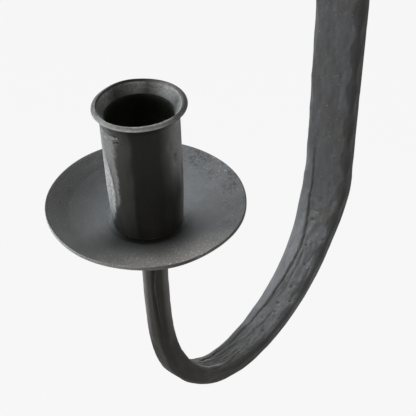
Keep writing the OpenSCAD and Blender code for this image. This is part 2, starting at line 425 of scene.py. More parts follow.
# Pits left by scale on the inside face, as [travel, x, radius, depth]
pitted = np.zeros(len(travel))
for pit in (
    (235.2, 0.1, 1.1, 0.6), (229.9, -0.4, 1.3, 0.7), (215.6, 0.7, 1.0, 0.6), (196.0, 1.5, 0.9, 0.5),
    (192.0, 2.8, 1.3, 0.8), (181.1, 1.4, 1.3, 0.8), (176.0, 2.5, 1.1, 0.6), (170.0, -0.9, 1.0, 0.5),
    (164.0, 3.4, 1.1, 0.5), (185.0, 6.0, 1.0, 0.6), (206.0, 3.6, 1.0, 0.6), (222.0, 8.0, 1.3, 0.5),
    (160.0, 0.5, 1.0, 0.5), (187.5, 7.8, 1.0, 0.4),
):
    away = np.hypot(travel - pit[0], across - pit[1])
    press(arm, inside * (soft(away, pit[2]) - 0.35 * soft(away - pit[2] * 1.25, 0.5)), pit[3])
    pitted = np.maximum(pitted, soft(away, pit[2] * 0.8))

# Broad hammer facets along the left edge of the bar, as [travel, half the length, reach]
for centre, long, reach in ((332, 16, 3.0), (294, 15, 2.6), (264, 11, 2.8)):
    chord = reach * np.sqrt(held(1 - ((travel - centre) / long) ** 2))
    press(arm, inside * held((-across - width_at(travel) / 2 + chord) / reach), 0.9)

# Crack where the stem was drawn out, as [travel, x]
CRACK = [
    [12, 3.4], [17, 3.0], [21, 2.7], [26, 2.1], [31, 1.8], [37, 2.0], [42, 2.5], [48, 3.0], [54, 3.3],
]
crack_x = by_table(travel, CRACK)
crack_share = np.interp(travel, [10, 16, 38, 56], [0, 1, 1, 0])
corner_side = held((across - height) / 6.0)
press(arm, outside * crack_share * soft(across - crack_x, 0.6) * corner_side, 0.7)
press(arm, outside * crack_share * soft(across - crack_x - 0.9, 0.6) * corner_side, -0.2)

# Shallow hammer dents over every face but the one on the wall, drawn out lengthwise
hammered = ripple(np.c_[across, height, travel * 0.45], 5.0, 2)
off_wall = held(-points_of(arm)[:, 1])
press(arm, held((hammered - 0.5) / 0.25) * off_wall, 0.24)
hammered = ripple(np.c_[across, height, travel * 0.6], 2.2, 5)
off_wall = held(-points_of(arm)[:, 1])
press(arm, held((hammered - 0.52) / 0.25) * inside * off_wall, 0.16)
modify(arm, "SMOOTH", factor=0.3, iterations=1)

# Low in the hook two ridges run along the inside face, with a hollow between and one beside them
turned_up = inside * np.interp(travel, [102, 110, 124, 133], [0, 1, 1, 0])
highlit_ridge = turned_up * soft(across - 3.0, 0.6)
second_ridge = turned_up * soft(across + 2.2, 0.6)
hollow = inside * np.interp(travel, [106, 114, 132, 142], [0, 1, 1, 0]) * soft(across + 0.6, 0.6)
right_hollow = turned_up * soft(across - 5.0, 0.7)
press(arm, np.maximum(highlit_ridge, second_ridge), -0.3)
press(arm, hollow, 0.5)
press(arm, right_hollow, 0.25)

# What the arm's finish follows: places along it, the lap, and where highlights and shade are painted on
paint_places(arm, "straight", np.c_[across, height, travel])
paint(arm, "hook", np.interp(travel, [90, 125, 215, 262], [0, 1, 1, 0]) * inside)
# A painted highlight on the raised lap left of the crease
paint(arm, "lap", inside * lap_share * held(-beside / 0.5) * np.interp(travel, [145, 182], [0.1, 1]))
# Painted highlights: a lit band down the stem's left, a painted reflection on its right face, light on
# ridges and the crack's lips
stem = np.interp(travel, [0, 45, 70], [1, 1, 0])
stem_left_highlight = stem * outside * held((-across - 0.6) / 1.8)
stem_right_sheen = stem * held(normals_of(arm)[:, 0] * 2 - 0.6) * held((height + 1.2) / 4.5)
crack_edge = outside * crack_share * soft(across - crack_x - 0.6, 0.4) * corner_side
painted_highlight = np.maximum(ridge_highlight, 0.35 * crack_edge) + 1.2 * np.maximum(highlit_ridge, 0.7 * second_ridge)
paint(arm, "painted_highlight", np.maximum(painted_highlight, np.maximum(0.6 * stem_left_highlight, stem_right_sheen)))
# Painted shade: darker down the stem under the pan and round the hook, and on the bar's right side, less on
# the stem's lit bands
stem_and_hook_shade = np.interp(travel, [0, 40, 60, 100, 118, 150, 190], [0.8, 0.85, 1, 1, 0.7, 0.6, 0])
right_side_shade = held(normals_of(arm)[:, 0] * 3 - 2) * np.interp(travel, [200, 240], [0, 0.5])
stem_and_hook_shade *= 1 - np.maximum(0.95 * stem_left_highlight, stem_right_sheen)
paint(arm, "black", np.maximum(stem_and_hook_shade, right_side_shade))
# Painted shade: darker in the creases, marks, pits, crack and hollows, and towards the stem's broad corner
crease_shade = inside * (0.9 * crease_share * soft(beside - 0.15, 0.42) + 0.5 * fold_share * soft(folded, 0.4))
crease_shade += 0.6 * marked + 0.6 * inside * pitted
crease_shade += outside * crack_share * soft(across - crack_x, 0.45) * corner_side
crease_shade += 0.9 * hollow + 0.5 * right_hollow
crease_shade += 0.5 * broad * held(over(corner - width_at(travel) * 0.36, 0.6)) * held((3.9 - across) / 1.2)
paint(arm, "crease", crease_shade)

# Drip pan: a sheet disc, flat under the cup and dished out to a rounded edge

SHEET = 1.5
HOLE_R = 2.25
FLAT_R = 13.5
RIM_ROUND = 0.3

# Share of the dish over which it rises out of the flat, and how much it flattens towards the rim
EASE = 0.12
FLATTER = 0.1


def dish_height(radius):
    """Height of the dish over its flat centre."""
    share = max(0, (radius - FLAT_R) / (PAN_R - FLAT_R))
    lifted = share * share / (2 * EASE) if share < EASE else share - EASE / 2
    return (PAN_RIM - CUP_FOOT) * (lifted - FLATTER * share * share) / (1 - EASE / 2 - FLATTER)


radii = [HOLE_R, 5, 8, 11, 12.5] + list(np.linspace(FLAT_R, PAN_R - RIM_ROUND, 42))
top_side = [(r, CUP_FOOT + dish_height(r)) for r in radii]
rim_top = top_side[-1][1]
rim_side = [
    (PAN_R - RIM_ROUND + RIM_ROUND * math.sin(a), rim_top - RIM_ROUND + RIM_ROUND * math.cos(a))
    for a in np.linspace(0, math.pi / 2, 5)[1:]
]
rim_side += [(PAN_R, rim_top - SHEET / 2)]
rim_side += [(r, 2 * rim_top - SHEET - z) for r, z in rim_side[-2::-1]]
under_side = [(r, z - SHEET) for r, z in top_side[::-1]]
pan = turned("dished_pan", top_side + rim_side + under_side + top_side[:1], steps=288)

# The sheet isn't quite level: its edge falls a little to the right and towards the wall
PAN_FALL = (-0.0143, -0.0199)
points = points_of(pan)
offset = points[:, :2] - [0, AXIS_Y]
span = around(points)[1]
outward = held((span - FLAT_R) / (PAN_R - FLAT_R))
shift(pan, (offset @ PAN_FALL * outward)[:, None] * [0, 0, 1])

# Nor is it quite round: where its edge stands out or in, as [angle, half its width in degrees, millimetres]
points = points_of(pan)
turn, span, toward = around(points)
spread = np.zeros(len(points))
for angle, wide, out in ((-44, 40, 0.45), (30, 34, -0.4), (82, 34, -0.65), (182, 34, -0.35)):
    spread += out * soft(apart(turn, angle), wide)
shift(pan, np.c_[toward * (spread * outward**2)[:, None], np.zeros(len(points))])

# What the pan's finish follows: painted light, shade and shadow, a lighter front, and pits
TO_FRONT_LEFT = (-0.34, -0.94)
TO_BACK_RIGHT = (0.35, 0.94)
# Lighter at the front, partly wear and partly painted light over the cup's shadow, with painted glints there
paint(pan, "worn_and_lit", soft(apart(turn, 56), 54) * held((span - 17) / 11))
# Painted shade: darker on the left and at the front, and to the right and front right close to the cup
painted_shade = 0.85 * soft(apart(turn, -60) * 0.55, 60) * held((span - 18) / 12)
painted_shade = np.maximum(painted_shade, 0.7 * soft(apart(turn, 6), 44) * held((span - 12) / 3))
painted_shade = np.maximum(painted_shade, 0.45 * soft(apart(turn, 95), 70) * held((31 - span) / 9))
painted_shade = np.maximum(painted_shade, 0.7 * soft(apart(turn, 40), 70) * held((18 - span) / 4))
paint(pan, "pan_shade", painted_shade)
# A painted shadow round the cup's foot, darkest at the front
foot_shadow_side = np.interp(turn, [-180, -70, -20, 10, 70, 120, 180], [0.2, 0.2, 0.6, 1, 1, 0.6, 0.2])
paint(pan, "foot", foot_shadow_side * held((16.0 - span) / 1.6))
# A painted highlight on the sheet's outer border, towards the front left
rim_edge = (span > PAN_R - 1.0) * (normals_of(pan)[:, 2] < 0.8)
paint(pan, "rim", rim_edge * held(toward @ TO_FRONT_LEFT * 1.6))
paint(pan, "pitted", held(toward @ TO_BACK_RIGHT) * held((span - 25) / 5))

# A faint step left where the dish was raised, and shallow planishing
points = points_of(pan)
span = around(points)[1]
above = held(normals_of(pan)[:, 2]) * held((PAN_R - 1.5 - span) / 2)
press(pan, above * soft(span - 0.79 * PAN_R, 1.4), 0.05)
press(pan, above * held((ripple(points, 8, 6) - 0.5) / 0.25) * held((span - 15) / 4), 0.15)

# Candle cup: rolled body with a flared lip, on a foot drawn in a little

BORE_R = 11.75
BODY_R = 13.65
FOOT_R = 12.9
FOOT_TALL = 19
FOOT_ROUND = 0.5
FLARE_TALL = 6
FLARE_Z = CUP_TOP - FLARE_TALL
FLOOR = CUP_FOOT + 2
FLOOR_ROUND = 4

# The lip's top slopes outwards: its width, its fall, and how far its outer edge is rounded
FACE = 1.3
CUT = 0.95
EDGE = 0.18

# Inner edge of the mouth, and the curve of the flare's inside
MOUTH_R = LIP_R - FACE - 0.26
MOUTH_DROP = 0.12
MOUTH_CURVE = 1.12

quarter = np.linspace(0, math.pi / 2, 12)
outer = (
    [(HOLE_R, CUP_FOOT), (6, CUP_FOOT), (10, CUP_FOOT)]
    + [
        (FOOT_R - FOOT_ROUND * (1 - math.sin(a)), CUP_FOOT + FOOT_ROUND * (1 - math.cos(a)))
        for a in quarter[::2]
    ]
    + [
        (
            FOOT_R + (BODY_R - FOOT_R) * math.sin(a),
            CUP_FOOT + FOOT_ROUND + (FOOT_TALL - FOOT_ROUND) * a / (math.pi / 2),
        )
        for a in np.linspace(0, math.pi / 2, 52)[1:]
    ]
    + [(BODY_R, z) for z in np.linspace(CUP_FOOT + FOOT_TALL, FLARE_Z, 72)[1:-1]]
)
flare_run = LIP_R - EDGE - BODY_R
flare = [
    (BODY_R + flare_run * (1 - math.cos(a)), FLARE_Z + (FLARE_TALL - CUT - 0.5) * math.sin(a))
    for a in quarter[:-1]
]
lip = [
    (LIP_R - EDGE, CUP_TOP - CUT - 0.3), (LIP_R, CUP_TOP - CUT - 0.08), (LIP_R - 0.04, CUP_TOP - CUT + 0.1),
    (LIP_R - FACE * 0.3, CUP_TOP - CUT * 0.68), (LIP_R - FACE * 0.6, CUP_TOP - CUT * 0.38),
    (LIP_R - FACE - 0.02, CUP_TOP - 0.06), (LIP_R - FACE - 0.14, CUP_TOP), (MOUTH_R, CUP_TOP - MOUTH_DROP),
]
inner = [
    (BORE_R + (MOUTH_R - BORE_R) * s**MOUTH_CURVE, FLARE_Z + (FLARE_TALL - MOUTH_DROP) * s)
    for s in np.linspace(1, 0, 14)[1:]
]
bore = [(BORE_R, z) for z in np.linspace(FLARE_Z, FLOOR + FLOOR_ROUND, 24)[1:-1]]
floor = [
    (BORE_R - FLOOR_ROUND * (1 - math.cos(a)), FLOOR + FLOOR_ROUND * (1 - math.sin(a)))
    for a in quarter[::2]
]
floor += [(5, FLOOR), (HOLE_R, FLOOR)]
cup = turned("candle_cup_body", outer + flare + lip + inner + bore + floor + outer[:1], steps=216)

# Hammer flats down the cup's wall, as [angle, depth, tilt, how far under the lip's top they end]
HALFWAY = CUP_TOP - 28
for angle, depth, tilt, high in (
    (-12, 0.30, -0.004, 5), (17, 0.36, 0.004, 6), (98, 0.2, 0.004, 6), (158, 0.3, 0.004, 7),
    (-172, 0.22, -0.003, 8), (-143, 0.28, 0.004, 9), (-112, 0.22, -0.004, 6), (-78, 0.2, 0.003, 8),
):
    points = points_of(cup)
    radius = around(points)[1]
    a = math.radians(angle)
    normal = np.array([math.sin(a), -math.cos(a), tilt])
    middle = np.array([0, AXIS_Y, HALFWAY]) + normal * (BODY_R - depth)
    outer_wall = held((radius - BORE_R - 0.3) / 0.6) * held((CUP_TOP - high - points[:, 2]) / 3)
    press(cup, outer_wall * over((points - middle) @ normal, 0.08), 1.0)

# Degrees in a radian, near enough for the place of a dent
RADIAN = 57.3

# Dents in the wall, as [angle, depth under the lip, half its height, half its width, depth]
for angle, level, long, wide, depth in (
    (3, 7.2, 3.2, 4.6, 0.25), (99, 19.2, 3.4, 1.3, 0.8), (108, 10.7, 3.5, 1.8, 0.45),
    (88, 12.7, 4.0, 2.4, 0.35), (28, 22, 9, 3.5, 0.25), (-20, 38, 8, 4, 0.2), (118, 27, 6, 3, 0.3),
):
    points = points_of(cup)
    turn, radius = around(points)[:2]
    outer_wall = held((radius - BORE_R - 0.3) / 0.6) * (points[:, 2] < CUP_TOP - 2)
    sideways = apart(turn, angle) / RADIAN * BODY_R
    away = np.hypot(sideways / wide, (points[:, 2] - CUP_TOP + level) / long)
    press(cup, outer_wall * soft(away, 1.0), depth)

# The lip was beaten out by eye: how far it stands out or in round its edge, as [angle, millimetres]
points = points_of(cup)
turn, radius, way = around(points)
outside_bore = radius > BORE_R + 0.5
on_lip = held((points[:, 2] - FLARE_Z) / 4.5)
LIP_OUT = [
    [-180, -0.2], [-165, -0.5], [-150, -0.75], [-140, -0.85], [-125, -0.7], [-113, -0.65], [-100, -0.8],
    [-90, -0.9], [-80, -0.85], [-66, -0.65], [-52, -0.45], [-44, -0.3], [-30, 0.05], [-20, 0.18],
    [-8, 0.3], [5, 0.32], [20, 0.28], [46, 0.38], [65, 0.33], [80, 0.4], [94, 0.5], [110, 0.46],
    [125, 0.35], [136, 0.28], [145, 0.22], [158, 0.05], [168, -0.05], [180, -0.2],
]
pull = np.mean([by_table(apart(turn, -off), LIP_OUT) for off in (-8, -4, 0, 4, 8)], axis=0)
circle = np.c_[np.cos(np.radians(turn)), np.sin(np.radians(turn)), np.zeros(len(turn))]
rise = -0.25 * (ripple(circle * 9, 8, 3) - 0.2)

# Where the lip is thicker its inner edge stands further in, as [angle, millimetres]
LIP_THICK = [
    [-170, 0], [-40, 0], [-22, 0.15], [-4, -0.1], [16, -0.1], [31, 0.05], [46, 0.15], [80, 0.15],
    [107, 0], [120, 0.15], [136, 0.35], [165, 0.4], [180, 0.2],
]
pull -= by_table(turn, LIP_THICK) * (radius < LIP_R - FACE * 0.7)
shift(cup, np.c_[way * (pull * on_lip)[:, None], rise.clip(-0.4, 0) * on_lip])

# The wall's flats are dressed soft, not the lip
wall = cup.vertex_groups.new(name="wall")
on_wall = (points[:, 2] < FLARE_Z + 1) & outside_bore
wall.add([int(i) for i in np.flatnonzero(on_wall)], 1.0, "REPLACE")
modify(cup, "SMOOTH", factor=0.5, iterations=5, vertex_group="wall")
cup.vertex_groups.remove(cup.vertex_groups["wall"])

# Chisel marks under the lip and their burrs, as points of [angle, depth under the lip], width and depth
depth_down = CUP_TOP - points[:, 2]
scored = np.zeros(len(points))
burred = np.zeros(len(points))
for line, wide, depth in (
    ([[-7, 6.9], [3, 6.5], [12, 6.5]], 0.5, 0.35),
    ([[0, 9.6], [13, 8.3]], 0.45, 0.3),
    ([[14, 9.5], [19, 8.6]], 0.45, 0.3),
    ([[-1, 5.8], [11, 5.6]], 0.4, -0.12),
    ([[-6, 7.9], [3, 7.6], [13, 6.9]], 0.45, -0.15),
    ([[2, 8.6], [13, 7.7]], 0.35, -0.1),
    ([[-28, 7.0], [-13, 7.1]], 0.4, -0.1),
    ([[-24, 9.0], [-8, 8.7]], 0.4, -0.12),
):
    line = np.array(line)
    off = depth_down - by_table(turn, line)
    share = outside_bore * held((turn - line[0, 0]) / 3) * held((line[-1, 0] - turn) / 3)
    press(cup, share * soft(off, wide), depth)
    if depth > 0:
        scored = np.maximum(scored, share * soft(off, wide))
    else:
        burred = np.maximum(burred, share * soft(off, wide))

# Painted highlights on the lip's edges and round the foot, strongest towards the front, and the cut face
# between the lip's edges
edge_out = soft(np.hypot(radius - LIP_R + 0.1, points[:, 2] - CUP_TOP + CUT - 0.1), 0.55)
edge_in = soft(np.hypot(radius - LIP_R + FACE + 0.14, points[:, 2] - CUP_TOP), 0.25)
edge_front = soft(apart(turn, 36), 70)
edge_out *= 0.15 + 0.85 * edge_front
edge_in *= 0.25 + 0.75 * edge_front
faced = normals_of(cup)
outward_share = held((faced[:, :2] * way).sum(1) * 2.5 - 0.6)
cut_face = held((points[:, 2] - CUP_TOP + CUT + 0.5) / 0.3) * outward_share
edge_foot = soft(np.hypot(radius - FOOT_R, points[:, 2] - CUP_FOOT - 0.2), 0.7)
edge_foot *= held(np.cos(np.radians(turn - 15)))

# How light the wall is painted, from flat to flat, as [angle, share]: partly wear, partly painted light and
# shade
drift = turn + 9 * (ripple(points * [0.3, 0.3, 1], 9, 8) - 0.5)
WEAR_AND_LIGHT = [
    [-180, 0.30], [-150, 0.14], [-135, 0.34], [-112, 0.16], [-95, 0.10], [-72, 0.34], [-50, 0.20],
    [-42, 0.14], [-30, 0.10], [-15, 0.08], [-4, 0.08], [3, 0.10], [8, 0.12], [26, 0.08], [31, 0.02],
    [70, 0.02], [84, 0.13], [96, 0.26], [110, 0.34], [130, 0.22], [145, 0.12], [165, 0.24], [180, 0.30],
]
wear_and_light = by_table(drift, WEAR_AND_LIGHT)
outer_wall = outside_bore & (points[:, 2] < CUP_TOP - CUT)

# Inside the flare a painted highlight is strongest at the right, as [angle, share] low down and at the top
LOW_WEAR_AND_LIGHT = [
    [-180, 0.12], [-154, 0.1], [-127, 0], [-96, 0.1], [-44, 0.2], [60, 0.4], [90, 0.9], [107, 1],
    [120, 0.7], [136, 0.35], [150, 0.15], [180, 0.12],
]
TOP_WEAR_AND_LIGHT = [
    [-180, 0.5], [-160, 0.3], [-140, 0.04], [-127, 0], [-113, 0.03], [-96, 0.12], [-73, 0.2], [-44, 0.2],
    [60, 0.4], [90, 0.9], [107, 0.95], [136, 0.75], [165, 0.6], [180, 0.55],
]
low_wear_and_light = by_table(turn, LOW_WEAR_AND_LIGHT)
top_wear_and_light = by_table(turn, TOP_WEAR_AND_LIGHT)
up_flare = held((points[:, 2] - FLARE_Z - 2) / 3.5)
inner_wear_and_light = low_wear_and_light + up_flare * (top_wear_and_light - low_wear_and_light)

# A painted highlight down the front left, bright then dull: the angle where each ends, and its share, by
# depth
RIDGE = [
    [0, -24], [14, -21], [20, -16], [26, -9], [32, -5], [36, -7], [40, -10], [42, -13], [45, -18], [48, -28],
]
VERGE = [[0, -4], [6, 5], [14, 6], [17, 5], [22, 4], [25, 6], [29, 5], [34, 6], [36, 2], [38, -3], [44, -14]]
BRIGHT = [
    [2, 0.15], [5, 0.25], [7, 0.34], [9, 0.4], [14, 0.42], [22, 0.75], [28, 0.85], [36, 0.85], [42, 0.8],
    [48, 0.3],
]
DULL = [
    [2, 0.1], [6, 0.2], [7.5, 0.36], [14, 0.4], [20, 0.38], [30, 0.4], [36, 0.34], [39, 0.16], [45, 0.06],
]
ridge, verge, bright, dull = [
    by_table(depth_down, table) for table in (RIDGE, VERGE, BRIGHT, DULL)
]
fray = turn + 0.35 * (drift - turn) + 7 * (ripple(points, 1.3, 10) - 0.5)
bright *= held((ridge - fray) / 6 + 0.5) * np.interp(turn, [-62, -46, -38, -30], [0, 0.35, 0.75, 1])
dull *= held((verge - fray) / 9 + 0.5) * (turn > -50)
midway = np.interp(depth_down, [17, 22, 34, 38], [0, 1, 1, 0])
front_highlight = np.maximum(bright, dull) * (1 - 0.45 * midway * soft(drift - ridge - 1.5, 3.5))
front_highlight += 0.12 * midway * soft(drift - verge + 3, 4)
wear_and_light = np.maximum(wear_and_light, front_highlight)
# Painted shade low down on the right, and a little painted light low at the front
wear_and_light *= 1 - 0.85 * soft(apart(turn, 95), 40) * held((depth_down - 24) / 10)
low_pale = soft(apart(turn, 50), 40) * np.interp(depth_down, [25, 45], [0, 0.05])
wear_and_light = np.where(outer_wall, wear_and_light + low_pale, inner_wear_and_light)

# Under the flare the bore is painted dark, a painted shade, and deeper down it is painted lighter again, a
# painted glow
up_bore = points[:, 2] - FLARE_Z + 1.5 * soft(apart(turn, 105), 30)
bore_share = np.interp(up_bore, [-18, -11, -6, -1, 1.2, 2.6, 4], [1, 0.5, 0.05, 0.05, 0.3, 0.75, 1])
wear_and_light *= np.where(outer_wall, 1, bore_share)
# Painted highlights along the lip's edges and round the foot
paint(cup, "edge", np.maximum(np.maximum(edge_out, 0.2 * edge_in), 0.22 * edge_foot))

# The cut face has its own painted light, as [angle, share], and the lip's crest is painted dark away from
# the front, a painted shade
CUT_WEAR_AND_LIGHT = [
    [-180, 0.03], [-90, 0.03], [-60, 0.05], [-44, 0.14], [-20, 0.24], [0, 0.30], [46, 0.17], [80, 0.1],
    [100, 0.07], [120, 0.03], [136, 0.01], [180, 0.02],
]
crest = held((points[:, 2] - CUP_TOP + 0.9) / 0.5) * (radius > LIP_R - FACE - 0.8) * (1 - edge_front)
wear_and_light *= 1 - 0.9 * crest
# Painted shade in the chisel grooves and a painted highlight on their burred rims
burr_highlight = 0.9 * burred * held(ripple(points, 0.8, 11) * 4 - 1.4)
wear_and_light = np.maximum(wear_and_light * (1 - 0.85 * scored), burr_highlight)
paint(cup, "wear_and_light", np.where(cut_face > 0.5, by_table(turn, CUT_WEAR_AND_LIGHT), wear_and_light))

# Places round the ring, where a radian counts as few millimetres, so that its streaks are long
STREAK_RUN = 2.2
paint_places(cup, "ring", np.c_[radius, points[:, 2], np.radians(turn) * STREAK_RUN])
paint(cup, "lip", np.where(outer_wall, on_lip, held((points[:, 2] - FLARE_Z + 4) / 3)))


# Finishes


class Value:
    """A number that changes over the surface; + - * on it add Math nodes."""

    def __init__(self, nodes, socket):
        self.nodes = nodes
        self.socket = socket

    def sum(self, operation, *terms, clamp=False):
        """One Math node on the terms."""
        return self.nodes.add(
            "ShaderNodeMath", {"operation": operation, "use_clamp": clamp}, dict(enumerate(terms))
        )

    def __add__(self, other):
        return self.sum("ADD", self, other)

    def __radd__(self, other):
        return self.sum("ADD", other, self)

    def __sub__(self, other):
        return self.sum("SUBTRACT", self, other)

    def __rsub__(self, other):
        return self.sum("SUBTRACT", other, self)

    def __mul__(self, other):
        return self.sum("MULTIPLY", self, other)

    def __rmul__(self, other):
        return self.sum("MULTIPLY", other, self)

    def clamped(self):
        """The value held between 0 and 1."""
        return self.sum("ADD", self, 0.0, clamp=True)

    def between(self, low, high):
        """0 below low, 1 above high, eased between them."""
        return self.nodes.add(
            "ShaderNodeMapRange",
            {"interpolation_type": "SMOOTHSTEP"},
            {"Value": self, "From Min": low, "From Max": high},
        )


class Nodes:
    """The nodes of a material or of the world."""

    def __init__(self, tree):
        self.tree = tree

    def add(self, kind, settings=None, sockets=None, output=0):
        """Adds a node, sets it up, gives or links its sockets, and returns one output."""
        node = self.tree.nodes.new(kind)
        for name, value in (settings or {}).items():
            setattr(node, name, value)
        for name, value in (sockets or {}).items():
            if isinstance(value, Value):
                self.tree.links.new(value.socket, node.inputs[name])
            else:
                node.inputs[name].default_value = value
        return Value(self, node.outputs[output])

    def end(self, value, node, socket):
        """Links a value to a socket of a node that the tree has from the start."""
        self.tree.links.new(value.socket, self.tree.nodes[node].inputs[socket])


class Finish(Nodes):
    """A material made of nodes."""

    def __init__(self, name):
        self.material = bpy.data.materials.new(name)
        self.material.use_nodes = True
        super().__init__(self.material.node_tree)
        self.shader = self.tree.nodes["Principled BSDF"]

    def set(self, **sockets):
        """Gives or links the shader's own sockets, named with _ for a space."""
        for name, value in sockets.items():
            socket = self.shader.inputs[name.replace("_", " ")]
            if isinstance(value, Value):
                self.tree.links.new(value.socket, socket)
            else:
                socket.default_value = value

    def painted(self, name):
        """A number painted on the piece's vertices."""
        return self.add("ShaderNodeAttribute", {"attribute_name": name}, None, "Fac")

    def place(self, scale=(1, 1, 1), painted=None):
        """Object coordinates, or places painted on the piece, in millimetres times the scale."""
        if painted:
            source = self.add("ShaderNodeAttribute", {"attribute_name": painted}, output="Vector")
        else:
            source = self.add("ShaderNodeTexCoord", output="Object")
        return self.add(
            "ShaderNodeVectorMath",
            {"operation": "MULTIPLY"},
            {0: source, 1: [s / MM for s in scale]},
        )

    def noise(self, place, size, detail=3.0, roughness=0.55):
        """Noise from 0 to 1 with features of this size in millimetres."""
        return self.add(
            "ShaderNodeTexNoise",
            None,
            {"Vector": place, "Scale": 1 / size, "Detail": detail, "Roughness": roughness},
            "Fac",
        )

    def mix(self, share, low, high):
        """Mixes two colours."""
        return self.add(
            "ShaderNodeMix", {"data_type": "RGBA"}, {0: share, 6: colour(low), 7: colour(high)}, 2
        )

    def bump(self, height, distance, normal=None):
        """A Bump node on a height from 0 to 1, worth this distance in millimetres."""
        sockets = {"Height": height, "Distance": distance * MM, "Strength": 1.0}
        if normal:
            sockets["Normal"] = normal
        return self.add("ShaderNodeBump", None, sockets)


def linear(level):
    """An 8-bit display level as a linear one."""
    level = level / 255
    return level / 12.92 if level <= 0.04045 else ((level + 0.055) / 1.055) ** 2.4


def colour(value):
    """A display colour of three 8-bit levels as the shader's, and a link as it is."""
    if isinstance(value, Value):
        return value
    return [linear(level) for level in value] + [1.0]


def bar_finish():
    """Forge black on the arm: streaks drawn along the bar, blotches on the hook, painted shade and painted
    highlights.
    """
    iron = Finish("forged_iron_arm")
    along = iron.place((1, 1, 0.16), "straight")
    even = iron.place((1, 1, 1), "straight")
    streaks = iron.noise(along, 1.3, 4.0)
    mottle = iron.noise(even, 3.2, 4.0)
    patches = iron.noise(even, 14.0, 2.0)
    grain = iron.noise(even, 0.5, 2.0)
    crease = iron.painted("crease")
    tone = (streaks * 0.3 + mottle * 0.3 + grain * 0.4).between(0.32, 0.68)
    base = iron.mix(tone, (90, 91, 93), (104, 105, 107))
    base = iron.mix(patches.between(0.4, 0.7) * 0.5, base, (88, 85, 81))
    base = iron.mix(grain.between(0.5, 0.7) * 0.25, base, (60, 60, 61))
    # Painted glints: small light specks all over the arm
    fleck_glints = iron.noise(even, 0.9, 1.0).between(0.72, 0.78)
    base = iron.mix(fleck_glints * 0.6, base, (185, 184, 180))
    on_hook = iron.painted("hook")
    blotches = iron.noise(iron.place((1, 1, 0.3), "straight"), 2.6, 4.0, 0.6)
    base = iron.mix(blotches.between(0.56, 0.68) * on_hook * 0.4, base, (60, 59, 58))
    base = iron.mix((1 - blotches.between(0.34, 0.48)) * on_hook * 0.38, base, (140, 141, 144))
    # A painted highlight on the lap
    base = iron.mix(iron.painted("lap") * 0.55, base, (126, 127, 131))
    # Painted shade, near black, on the stem, the hook and the bar's right side
    black = iron.painted("black")
    base = iron.mix(black * 0.95, base, (46, 44, 39))
    # A painted highlight in light grey on the stem's lit bands, the ridges and the crack's lips
    base = iron.mix(iron.painted("painted_highlight") * 0.7, base, (172, 171, 168))
    # Painted shade, near black, in the creases, pits, crack and hollows
    base = iron.mix(crease * 0.85, base, (16, 15, 13))
    normal = iron.bump(streaks, 0.06)
    normal = iron.bump(mottle, 0.16, normal)
    normal = iron.bump(blotches * on_hook, 0.13, normal)
    normal = iron.bump(grain, 0.05, normal)
    iron.set(
        Base_Color=base, Metallic=0.12, Roughness=0.40 + 0.2 * mottle + 0.18 * black, Normal=normal,
        Specular_IOR_Level=0.25,
    )
    return iron.material


def pan_finish():
    """Forge black on the pan: fine grain, painted shade, a lighter front that is partly painted light, and
    pits and painted glints that thicken outwards.
    """
    iron = Finish("forged_iron_pan")
    even = iron.place()
    centred = iron.add(
        "ShaderNodeMapping", {"vector_type": "POINT"}, {"Vector": even, "Location": (0, -AXIS_Y, 0)}
    )
    flat = iron.add("ShaderNodeVectorMath", {"operation": "MULTIPLY"}, {0: centred, 1: (1, 1, 0)})
    radius = iron.add("ShaderNodeVectorMath", {"operation": "LENGTH"}, {0: flat}, "Value")
    mottle = iron.noise(even, 6.0, 4.0)
    grain = iron.noise(even, 0.55, 3.0, 0.7)
    worn_and_lit, pitted = iron.painted("worn_and_lit"), iron.painted("pitted")
    near_rim = radius.between(24, 34)
    # Painted light: lighter round the cup's foot, darker out towards the border
    base = iron.mix(radius.between(15, 34), (122, 124, 126), (94, 95, 96))
    base = iron.mix(mottle.between(0.35, 0.65) * 0.12, base, (60, 60, 62))
    # Painted shade over the dish
    base = iron.mix(iron.painted("pan_shade"), base, (56, 56, 53))
    # A painted shadow, dark olive, round the cup's foot
    base = iron.mix(iron.painted("foot") * 0.85, base, (26, 25, 21))
    # Lighter at the front, partly wear and partly painted light
    base = iron.mix(worn_and_lit * 0.9, base, (180, 176, 172))
    base = iron.mix(grain.between(0.48, 0.7) * 0.3, base, (52, 51, 49))
    scale = iron.noise(even, 1.2, 3.0, 0.7).between(0.50, 0.60)
    scale = scale * iron.noise(even, 6.0, 2.0).between(0.40, 0.56)
    base = iron.mix(scale * pitted * 0.7, base, (52, 52, 54))
    pits = iron.noise(even, 1.1, 2.0).between(0.66, 0.74)
    base = iron.mix(pits * (0.3 + 0.5 * near_rim), base, (38, 36, 34))
    # Painted glints, thick on the lighter front, sparse elsewhere and on the pitted part
    glints = iron.noise(even, 0.6, 0.0).between(0.67, 0.74)
    base = iron.mix(glints * (0.02 + 0.02 * near_rim + 0.07 * pitted + 0.85 * worn_and_lit), base, (240, 236, 230))
    rim = iron.painted("rim")
    base = iron.mix(radius.between(35.4, 35.7) * 0.9, base, (52, 44, 37))
    # A painted highlight, light and grainy, on the outer border
    base = iron.mix(rim * (0.55 + grain.between(0.4, 0.6) * 0.45), base, (206, 207, 207))
    normal = iron.bump(mottle, 0.12)
    normal = iron.bump(scale * pitted, 0.05, normal)
    normal = iron.bump(grain, 0.06, normal)
    iron.set(
        Base_Color=base, Metallic=0.05, Roughness=0.36 + 0.12 * mottle, Normal=normal, Specular_IOR_Level=0.2
    )
    return iron.material


